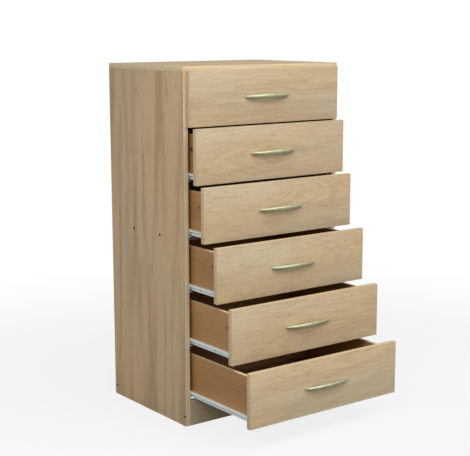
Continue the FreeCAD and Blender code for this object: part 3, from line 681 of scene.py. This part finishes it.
@dataclass
class Board:
    """Faced boards of one node, cut to their CAD shape, with eased edges and a finish for each kind of face.

    Attributes:
        node: The node that holds the boards.
        body: The body they ride on.
        slot: The name of their material slot, which they pass on to show.
        finishes: Materials for the broad faces, the edged edges and the raw wood.
        raw_edges: The edges that aren't edged, each as its axis and the way it looks along it.
        ease: How far the outer edges are eased, in metres.
        skin: How near a point has to be to its board's box to lie on it, in metres.
        merge: How near two points have to be to be one, in metres.
        flat: The angle between two faces under which they are one.
        square: How squarely a face has to look along an axis to be a side of its board, from 0 to 1.
        corner: The angle between two faces over which their edge is a corner.
        shortest: How many times the easing's width an edge has to be long to be eased.
        smooth: The angle between two faces under which they are shaded as one.
    """

    node: str
    body: str
    slot: str
    finishes: tuple[bpy.types.Material, bpy.types.Material, bpy.types.Material]
    raw_edges: tuple[tuple[int, int], ...] = ()
    ease: float = 0.5 * MM
    skin: float = 0.02 * MM
    merge: float = 0.002 * MM
    flat: float = math.radians(0.5)
    square: float = 0.9
    corner: float = math.radians(60)
    shortest: float = 4.0
    smooth: float = math.radians(35)

    def shape(self) -> bmesh.types.BMesh:
        """Copies the CAD node's mesh, with its doubles merged and its flat faces whole again.

        Returns:
            The copy.
        """
        mesh = bmesh.new()
        mesh.from_mesh(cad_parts[self.node].data)
        bmesh.ops.remove_doubles(mesh, verts=mesh.verts, dist=self.merge)
        bmesh.ops.dissolve_limit(mesh, angle_limit=self.flat, verts=mesh.verts, edges=mesh.edges,
                                 delimit=set())
        return mesh

    def boards(self, mesh: bmesh.types.BMesh) -> list[list[bmesh.types.BMFace]]:
        """Parts boards that touch from each other.

        Args:
            mesh: The node's mesh.

        Returns:
            The faces of each board.
        """
        seen, found = set(), []
        for first in mesh.faces:
            if first in seen:
                continue
            board, waiting = {first}, [first]
            while waiting:
                inner = [edge for edge in waiting.pop().edges if len(edge.link_faces) == 2]
                near = {face for edge in inner for face in edge.link_faces} - board
                board |= near
                waiting.extend(near)
            seen |= board
            found.append(sorted(board, key=lambda face: face.index))
        parted = [bmesh.ops.split(mesh, geom=board)["geom"] for board in found]
        return [[item for item in board if isinstance(item, bmesh.types.BMFace)] for board in parted]

    def sort(self, board: list[bmesh.types.BMFace], low: Vector, high: Vector) -> None:
        """Gives each face of a board the material of what it is.

        Args:
            board: The board's faces.
            low: The lowest corner of its box.
            high: The highest corner of its box.
        """
        thin = min(range(3), key=lambda a: high[a] - low[a])
        for face in board:
            axis = max(range(3), key=lambda a: abs(face.normal[a]))
            way = 1 if face.normal[axis] > 0 else -1
            limit = high[axis] if way > 0 else low[axis]
            outside = abs(face.normal[axis]) > self.square and abs(face.verts[0].co[axis] - limit) < self.skin
            if not outside:
                kind = Kind.RAW
            elif axis == thin:
                kind = Kind.BROAD
            else:
                kind = Kind.RAW if (axis, way) in self.raw_edges else Kind.EDGE
            face.material_index = kind.value

    def corners(self, board: list[bmesh.types.BMFace], low: Vector, high: Vector) -> list[bmesh.types.BMEdge]:
        """The edges where two covered faces of a board meet.

        Args:
            board: The board's faces, already sorted.
            low: The lowest corner of its box.
            high: The highest corner of its box.

        Returns:
            The edges, each once.
        """

        def on_rim(point: Vector) -> bool:
            """Whether a point lies where two sides of the box meet."""
            return sum(min(point[a] - low[a], high[a] - point[a]) < self.skin for a in range(3)) >= 2

        return [
            edge for edge in dict.fromkeys(edge for face in board for edge in face.edges)
            if len(edge.link_faces) == 2 and edge.calc_face_angle(0.0) > self.corner
            and all(on_rim(vert.co) for vert in edge.verts)
            and edge.calc_length() > self.shortest * self.ease
            and all(face.material_index != Kind.RAW.value for face in edge.link_faces)
        ]

    def make(self) -> bpy.types.Object:
        """Builds the boards.

        Returns:
            Their object.
        """
        mesh = self.shape()
        sharp = []
        for board in self.boards(mesh):
            points = [vert.co for face in board for vert in face.verts]
            low = Vector([min(point[a] for point in points) for a in range(3)])
            high = Vector([max(point[a] for point in points) for a in range(3)])
            self.sort(board, low, high)
            sharp += self.corners(board, low, high)
        bmesh.ops.bevel(mesh, geom=sharp, offset=self.ease, offset_type="OFFSET", segments=3, profile=0.5,
                        affect="EDGES", material=-1, clamp_overlap=True)
        piece = show(mesh, self.node + "_faced", self.body, self.slot, list(self.finishes), (self.node,))
        smooth_by_angle(piece, self.smooth)
        return piece


def smooth_by_angle(piece: bpy.types.Object, angle: float) -> None:
    """Shades a piece smooth except at edges sharper than an angle.

    Args:
        piece: The piece.
        angle: The angle, in radians.
    """
    data = piece.data
    for polygon in data.polygons:
        polygon.use_smooth = True
    mesh = bmesh.new()
    mesh.from_mesh(data)
    for edge in mesh.edges:
        edge.smooth = len(edge.link_faces) == 2 and edge.calc_face_angle(math.pi) < angle
    mesh.to_mesh(data)
    mesh.free()


@dataclass
class BowHandle:
    """A cast bow handle: a rounded bar on an arc, slim at its ends, that widens into two feet.

    Attributes:
        drawer: The drawer it belongs to.
        finish: Its metal.
        half: Half its length.
        rise: How far it stands off its front.
        wall: Its thickness in the middle.
        mid_height: Its height in the middle.
        end_height: Its height at its ends.
        opening_half: Half the opening between its feet, at the front.
        end_rise: How far its blunt ends stand off the front.
        end_round: The rounding of its blunt ends.
        stations: Sections along it.
        around: Points round each section.
        squareness: How square a section is: 2 is an ellipse, and more is squarer.
        slimmest: How much of its height is left at its very ends.
        thinnest: The depth of the sections at its very ends.
        reach: How much of its half length the sections cover.
        smooth: The angle between two faces under which they are shaded as one.
    """

    drawer: int
    finish: bpy.types.Material
    half: float = 85 * MM
    rise: float = 24 * MM
    wall: float = 8 * MM
    mid_height: float = 14 * MM
    end_height: float = 8 * MM
    opening_half: float = 58 * MM
    end_rise: float = 7 * MM
    end_round: float = 12 * MM
    stations: int = 56
    around: int = 24
    squareness: float = 2.6
    slimmest: float = 0.4
    thinnest: float = 0.2 * MM
    reach: float = 0.9995
    smooth: float = math.radians(40)

    @staticmethod
    def radius(half_chord: float, rise: float) -> float:
        """The radius of an arc with that half chord and rise."""
        return (half_chord ** 2 + rise ** 2) / (2 * rise)

    def outer(self, x: float) -> float:
        """Works out how far the bow's outer line stands off the front.

        Args:
            x: The place along the handle.

        Returns:
            The distance.
        """
        rise = self.rise - self.end_rise
        big = self.radius(self.half, rise)
        line = self.end_rise + math.sqrt(big ** 2 - x ** 2) - (big - rise)
        return line * self.cap(x)

    def cap(self, x: float) -> float:
        """How much of the section is left at x: all of it, but for a quarter round at each end."""
        past = max(abs(x) - (self.half - self.end_round), 0.0) / self.end_round
        return math.sqrt(max(1.0 - past ** 2, 0.0))

    def inner(self, x: float) -> float:
        """Works out how far the opening's line stands off the front.

        Args:
            x: The place along the handle.

        Returns:
            The distance, and 0 in the feet.
        """
        rise = self.rise - self.wall
        small = self.radius(self.opening_half, rise)
        return max(math.sqrt(max(small ** 2 - x ** 2, 0.0)) - (small - rise), 0.0)

    def height(self, x: float) -> float:
        """Works out the bow's height.

        Args:
            x: The place along the handle.

        Returns:
            The height.
        """
        swell = (self.mid_height - self.end_height) / 2
        lens = self.radius(self.half, swell)
        return self.end_height + 2 * (math.sqrt(lens ** 2 - x ** 2) - (lens - swell))

    def make(self) -> bpy.types.Object:
        """Builds the handle.

        Returns:
            Its object.
        """
        front = f"drawer_{self.drawer}_front"
        face_y, middle_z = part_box(front)[0][1], middle(front).z
        mesh = bmesh.new()
        ring = bmesh.ops.create_circle(mesh, cap_ends=False, radius=1.0, segments=self.around)["verts"]
        bmesh.ops.rotate(mesh, verts=ring, cent=(0, 0, 0), matrix=Matrix.Rotation(math.radians(90), 3, "Y"))
        edges = list({edge for vert in ring for edge in vert.link_edges})
        places = [-self.half * math.cos(math.pi * i / self.stations) for i in range(self.stations + 1)]
        rings = [ring]
        for _ in places[1:]:
            grown = bmesh.ops.extrude_edge_only(mesh, edges=edges)["geom"]
            ring = [item for item in grown if isinstance(item, bmesh.types.BMVert)]
            edges = [item for item in grown if isinstance(item, bmesh.types.BMEdge)
                     and all(vert in ring for vert in item.verts)]
            rings.append(ring)
        for x, ring in zip(places, rings):
            self.lay(ring, x * self.reach, face_y, middle_z)
        bmesh.ops.holes_fill(mesh, edges=mesh.edges, sides=0)
        bmesh.ops.recalc_face_normals(mesh, faces=mesh.faces)
        name = f"drawer_{self.drawer}_bow_handle"
        piece = show(mesh, name, f"drawer_{self.drawer}", "satin_nickel", [self.finish],
                     (f"drawer_{self.drawer}_handle",))
        smooth_by_angle(piece, self.smooth)
        return piece

    def lay(self, ring: list[bmesh.types.BMVert], x: float, face_y: float, middle_z: float) -> None:
        """Moves a ring of a unit circle to its section of the handle.

        Args:
            ring: The vertices, on a unit circle in the YZ plane.
            x: Where the section lies along the handle.
            face_y: The front's outer face.
            middle_z: The handle's middle height.
        """
        near, far = self.inner(x), max(self.outer(x), self.thinnest)
        left = self.slimmest + (1 - self.slimmest) * self.cap(x)
        half_depth, half_height = (far - near) / 2, self.height(x) / 2 * left
        power = 2 / self.squareness
        for vert in ring:
            angle = math.atan2(vert.co.z, vert.co.y)
            depth = math.copysign(abs(math.cos(angle)) ** power, math.cos(angle))
            up = math.copysign(abs(math.sin(angle)) ** power, math.sin(angle))
            out = near + half_depth * (1 - depth)
            vert.co = Vector((x, face_y - out, middle_z + half_height * up))


@dataclass
class Carcase:
    """The carcase: two sides, a top, a middle shelf, a plinth, a rear rail and the nailed back.

    Attributes:
        body: The body it is.
        nail_head: The diameter of the nails' heads.
        nail_step: The longest distance between two nails.
        nail_inset: The back panel's edge to its nails.
        nail_proud: How far their flat heads stand off the panel.
        nail_thick: The thickness of their heads.
        nail_taper: The diameter of a head's underside, as a share of the head's own.
        nail_sides: The sides that a head has.
    """

    body: str = "carcase"
    nail_head: float = 4 * MM
    nail_step: float = 125 * MM
    nail_inset: float = 4 * MM
    nail_proud: float = 0.04 * MM
    nail_thick: float = 0.5 * MM
    nail_taper: float = 0.7
    nail_sides: int = 16

    def nail_row(self, start: Vector, end: Vector) -> list[Vector]:
        """Evenly spaced places from one nail to another, both included."""
        gaps = math.ceil((end - start).length / self.nail_step)
        return [start.lerp(end, i / gaps) for i in range(gaps + 1)]

    def nail_back(self, metal: bpy.types.Material) -> bpy.types.Object:
        """Nails the back panel to the sides, the top and the rear rail.

        Args:
            metal: The nails' plating.

        Returns:
            The nails' object.
        """
        low, high = (Vector(corner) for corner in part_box("back_panel"))
        left, right = low.x + self.nail_inset, high.x - self.nail_inset
        rail, top = middle("rear_rail").z, high.z - self.nail_inset
        y = high.y + self.nail_proud
        places = self.nail_row(Vector((left, y, rail)), Vector((left, y, top)))
        places += self.nail_row(Vector((right, y, rail)), Vector((right, y, top)))
        for z in (rail, top):
            places += self.nail_row(Vector((left, y, z)), Vector((right, y, z)))[1:-1]
        mesh = bmesh.new()
        radius = self.nail_head / 2
        for place in places:
            head = bmesh.ops.create_cone(mesh, cap_ends=True, segments=self.nail_sides, depth=self.nail_thick,
                                         radius1=radius * self.nail_taper, radius2=radius)["verts"]
            bmesh.ops.rotate(mesh, verts=head, matrix=Matrix.Rotation(math.radians(-90), 3, "X"))
            bmesh.ops.translate(mesh, verts=head, vec=place - Vector((0, self.nail_thick / 2, 0)))
        return show(mesh, "back_nails", self.body, "zinc_screws", [metal])

    def make(self, raw: bpy.types.Material, zinc: bpy.types.Material) -> None:
        """Builds the carcase's boards and dresses what holds them together.

        Args:
            raw: The raw chipboard.
            zinc: The nails' plating.
        """
        side = OakFoil("oak_sides", Grain.UPRIGHT, heart=(0.3, -0.15, 0.26), slant=(0.05, 0.02),
                       cool=(0.592, 0.438, 0.250), warm=(0.610, 0.424, 0.238), rings=0.08, bands=0.52,
                       band_pitch=25.0, streaks=0.16, blotches=0.42).build()
        side_edge = Edging("oak_side_edging", Grain.UPRIGHT).build()
        # Painted shade: the top and the middle shelf take a darker copy of the oak foil, which tones down the
        # top that the lamps light from above.
        top = OakFoil("oak_top_painted_shade", Grain.ACROSS, heart=(0.0, -0.2, 0.9), slant=(0.04, 0.02),
                      cool=(0.500, 0.390, 0.225), warm=(0.525, 0.365, 0.190)).build()
        top_edge = Edging("oak_top_edging", Grain.ACROSS).build()
        # Painted shade: the plinth and the rear rail take a darker copy of the oak foil, for the shadow under
        # the bottom drawer.
        plinth = OakFoil("oak_plinth_painted_shade", Grain.ACROSS, heart=(0.2, 0.1, 0.1), slant=(0.05, 0.02),
                         cool=(0.480, 0.385, 0.255), warm=(0.500, 0.365, 0.225)).build()
        for side_name in ("left", "right"):
            Board(f"{side_name}_side_panel", self.body, "oak_board", (side, side_edge, raw),
                  raw_edges=(DOWN, UP)).make()
        Board("top_panel", self.body, "oak_board", (top, top_edge, raw)).make()
        for name in ("front_plinth", "rear_rail"):
            Board(name, self.body, "oak_board", (plinth, top_edge, raw), raw_edges=(DOWN, LEFT, RIGHT)).make()
        Board("middle_shelf", self.body, "oak_board", (top, top_edge, raw), raw_edges=(LEFT, RIGHT)).make()
        back = Hardboard("back_hardboard", light=(0.52, 0.38, 0.24), dark=(0.33, 0.22, 0.125)).build()
        dress("back_panel", back)
        self.nail_back(zinc)
        dress("top_dowels", OakFoil("beech", Grain.UPRIGHT, cool=(0.62, 0.48, 0.32), warm=(0.64, 0.46, 0.30),
                                    rings=0.05, bands=0.1, streaks=0.1).build())


@dataclass
class Drawers:
    """The six drawers, with their own figure in the foil of each front.

    Attributes:
        numbers: The drawers from the top down.
        hearts: For each front, how far to its right, above it and behind it the tree's heart passes.
        slants: For each front, how the tree leans upwards and backwards to the right.
    """

    numbers: tuple[int, ...] = DRAWERS
    hearts: dict[int, tuple[float, float, float]] = field(default_factory=lambda: {
        1: (0.30, 0.060, 0.070), 2: (-0.10, -0.010, 0.030), 3: (0.15, 0.045, 0.040),
        4: (0.22, 0.020, 0.035), 5: (-0.20, -0.050, 0.055), 6: (0.05, 0.070, 0.060)})
    slants: dict[int, tuple[float, float]] = field(default_factory=lambda: {
        1: (0.02, 0.05), 2: (0.03, 0.14), 3: (-0.04, -0.12),
        4: (0.02, -0.16), 5: (-0.03, 0.09), 6: (0.04, 0.07)})

    def foil(self, n: int) -> OakFoil:
        """Chooses the foil of one front, with its heart placed from the front's own middle.

        Args:
            n: The drawer's number.

        Returns:
            The foil.
        """
        centre = middle(f"drawer_{n}_front")
        right, above, behind = self.hearts[n]
        heart = (-right, -(centre.y + behind), -(centre.z + above))
        return OakFoil(f"oak_front_{n}", Grain.ACROSS, heart, self.slants[n])

    def make(self, metal: dict[str, bpy.types.Material], raw: bpy.types.Material) -> None:
        """Builds every drawer.

        Args:
            metal: The metal finishes by name.
            raw: The raw chipboard.
        """
        foil = BrownFoil().build()
        rim = Edging("box_edging", Grain.DEEP, pale=(0.76, 0.58, 0.34), tan=(0.62, 0.46, 0.26)).build()
        # The drawer bottoms' hardboard is brown, made darker still as painted shade so that the insides of
        # the drawers read dark.
        base_with_painted_shade = Hardboard("base_hardboard_painted_shade", light=(0.34, 0.22, 0.12), dark=(0.21, 0.13, 0.07)).build()
        edge = Edging("oak_front_edging", Grain.ACROSS, pale=(0.655, 0.505, 0.300),
                      tan=(0.520, 0.385, 0.210)).build()
        nylon = Nylon().build()
        for n in self.numbers:
            body = f"drawer_{n}"
            oak = self.foil(n).build()
            Board(f"drawer_{n}_front", body, "oak_board", (oak, edge, raw)).make()
            Board(f"drawer_{n}_box_boards", body, "drawer_board", (foil, rim, raw),
                  raw_edges=(DOWN, FRONT, REAR)).make()
            BowHandle(n, metal["nickel"]).make()
            dress(f"drawer_{n}_bottom", base_with_painted_shade)
            dress(f"drawer_{n}_runner_members", metal["epoxy"])
            dress(f"drawer_{n}_fixings", metal["zinc"])
            dress(f"drawer_{n}_rear_rollers", nylon)
            dress(f"drawer_{n}_front_rollers", nylon)


# ---- studio --------------------------------------------------------------------------------------------

def hang(data: bpy.types.Light, towards: Vector, place: tuple[float, float, float] = (0.0, 0.0, 0.0)) -> None:
    """Hangs a lamp and turns it.

    Args:
        data: The lamp's own data, from which it takes its name.
        towards: The direction it looks in.
        place: Where it hangs.
    """
    lamp = bpy.data.objects.new(data.name, data)
    lamp.location = place
    lamp.rotation_euler = towards.to_track_quat("-Z", "Y").to_euler()
    bpy.context.scene.collection.objects.link(lamp)


@dataclass(frozen=True)
class SoftLamp:
    """A square soft lamp that looks at a point.

    Attributes:
        name: The lamp's name.
        place: Where it hangs.
        aim: The point it looks at.
        size: How long its sides are, in metres.
        power: Its power, in watts.
    """

    name: str
    place: tuple[float, float, float]
    aim: tuple[float, float, float]
    size: float
    power: float

    def make(self) -> None:
        """Makes the lamp and hangs it."""
        data = bpy.data.lights.new(self.name, "AREA")
        data.shape = "SQUARE"
        data.size = self.size
        data.energy = self.power
        hang(data, Vector(self.aim) - Vector(self.place), self.place)


@dataclass(frozen=True)
class SkyLamp:
    """A far, wide lamp that lights the whole chest alike.

    Attributes:
        name: The lamp's name.
        source: The direction from the chest to the lamp.
        power: Its irradiance, in watts per square metre.
        spread: The angle that it fills in the sky, in degrees.
    """

    name: str
    source: tuple[float, float, float]
    power: float
    spread: float

    def make(self) -> None:
        """Makes the lamp and hangs it."""
        data = bpy.data.lights.new(self.name, "SUN")
        data.energy = self.power
        data.angle = math.radians(self.spread)
        hang(data, -Vector(self.source))


@dataclass
class Studio:
    """A plain pale room with soft lamps, and the camera.

    Attributes:
        eye: Where the camera stands.
        heading: How far it turns to the right of straight ahead, in degrees.
        tilt: How far it looks up, in degrees; down is less than 0.
        roll: How far it leans, in degrees.
        lens: Its focal length, in millimetres.
        sensor: The width of its film, in millimetres.
        shift: How far its film is moved across and up, as shares of its width.
        clip: The nearest and farthest it sees, in metres.
        floor_half: Half the floor's width, in metres.
        floor_cells: The squares along each side of the floor.
        floor_tint: The colour of the floor that shows.
        floor_glow: How white that floor is of itself, near the chest and far from it.
        bounce: How pale the floor is that lights the chest.
        dome: The radius of the backdrop, in metres.
        dome_steps: How often the backdrop's faces are divided.
        ambient: How bright the world is.
        lamps: The lamps.
    """

    eye: tuple[float, float, float] = (-2.1785, -2.7658, 1.2151)
    heading: float = 37.07
    tilt: float = -10.46
    roll: float = -0.045
    lens: float = 87.0
    sensor: float = 36.0
    shift: tuple[float, float] = (-0.01213, 0.01688)
    clip: tuple[float, float] = (0.05, 60.0)
    floor_half: float = 14.0
    floor_cells: int = 8
    floor_tint: Colour = (0.9, 0.9, 0.9)
    floor_glow: tuple[float, float] = (0.82, 1.0)
    bounce: float = 0.20
    dome: float = 12.0
    dome_steps: int = 4
    ambient: float = 0.46
    lamps: tuple[SkyLamp | SoftLamp, ...] = (
        SkyLamp("sky_lamp", source=(0.15, -0.60, 0.78), power=1.95, spread=80.0),
        SoftLamp("key_lamp", place=(0.7, -2.1, 2.6), aim=(0.0, 0.0, 1.0), size=1.4, power=11.0),
        SoftLamp("fill_lamp", place=(-2.9, -1.5, 2.3), aim=(-0.3, 0.1, 0.95), size=1.8, power=42.0),
    )

    def stand_camera(self) -> None:
        """Puts the camera at its place and makes it the scene's."""
        data = bpy.data.cameras.new("camera")
        data.lens = self.lens
        data.sensor_width = self.sensor
        data.shift_x, data.shift_y = self.shift
        data.clip_start, data.clip_end = self.clip
        camera = bpy.data.objects.new("camera", data)
        bpy.context.scene.collection.objects.link(camera)
        turn = (Matrix.Rotation(math.radians(-self.heading), 4, "Z")
                @ Matrix.Rotation(math.radians(90 + self.tilt), 4, "X")
                @ Matrix.Rotation(math.radians(self.roll), 4, "Z"))
        camera.matrix_world = Matrix.Translation(self.eye) @ turn
        bpy.context.scene.camera = camera

    def set_stage(self, mesh: bmesh.types.BMesh, name: str, material: bpy.types.Material,
                  hidden: tuple[str, ...]) -> None:
        """Sets up a plain surface that isn't part of the chest.

        Args:
            mesh: The surface; it is freed.
            name: Its name.
            material: Its material.
            hidden: The kinds of ray that don't see it.
        """
        data = bpy.data.meshes.new(name)
        mesh.to_mesh(data)
        mesh.free()
        data.materials.append(material)
        surface = bpy.data.objects.new(name, data)
        for ray in hidden:
            setattr(surface, "visible_" + ray, False)
        bpy.context.scene.collection.objects.link(surface)

    def lay_floor(self) -> None:
        """Lays two floors in one plane: a white one that shows, and a dim one that lights the chest."""
        for name, paint, hidden in (
            ("floor", StagePaint("pale_floor", self.floor_tint, self.floor_glow), ("diffuse", "shadow")),
            ("floor_bounce", StagePaint("dim_floor", (self.bounce,) * 3), ("camera", "shadow")),
        ):
            mesh = bmesh.new()
            bmesh.ops.create_grid(mesh, x_segments=self.floor_cells, y_segments=self.floor_cells,
                                  size=self.floor_half)
            self.set_stage(mesh, name, paint.build(), hidden)

    def hang_backdrop(self) -> None:
        """Hangs a white dome far round the chest. Only the camera sees it, so it lights nothing."""
        mesh = bmesh.new()
        bmesh.ops.create_icosphere(mesh, subdivisions=self.dome_steps, radius=self.dome)
        bmesh.ops.reverse_faces(mesh, faces=mesh.faces)
        graph = Graph("white_backdrop")
        graph.add("OutputMaterial", {"Surface": graph.white_glow()})
        self.set_stage(mesh, "backdrop", graph.material,
                       ("diffuse", "glossy", "transmission", "volume_scatter", "shadow"))

    def light(self) -> None:
        """Lights the room: a dim even world, and wide soft lamps above, in front and on the left."""
        world = bpy.data.worlds.new("pale_room")
        world.use_nodes = True
        background = world.node_tree.nodes["Background"].inputs
        background["Color"].default_value = WHITE
        background["Strength"].default_value = self.ambient
        bpy.context.scene.world = world
        for lamp in self.lamps:
            lamp.make()
        view = bpy.context.scene.view_settings
        view.view_transform = "Standard"
        view.look = "None"

    def make(self) -> None:
        """Sets the whole studio."""
        self.stand_camera()
        self.lay_floor()
        self.hang_backdrop()
        self.light()


def main() -> None:
    """Builds the chest and the studio round it."""
    logging.basicConfig(level=logging.INFO, format="%(name)s %(message)s", stream=sys.stdout)
    Studio().make()
    raw = Chipboard().build()
    metal = {
        "epoxy": Epoxy().build(),
        "nickel": PlatedMetal("satin_nickel", bright=(0.535, 0.575, 0.385), dull=(0.455, 0.465, 0.240),
                              rough=0.50, lacquer=0.8).build(),
        "zinc": PlatedMetal("zinc_plate", bright=(0.52, 0.52, 0.49), dull=(0.32, 0.32, 0.30),
                            rough=0.42).build(),
        "dark": PlatedMetal("dark_steel", bright=(0.030, 0.028, 0.026), dull=(0.018, 0.017, 0.016),
                            rough=0.50).build(),
    }
    Carcase().make(raw, metal["zinc"])
    Drawers().make(metal, raw)
    dress("cabinet_runners", metal["epoxy"])
    dress("runner_screws", metal["zinc"])
    dress("top_cam_fittings", metal["zinc"])
    dress("confirmat_screws", metal["dark"])


if __name__ == "__main__":
    main()
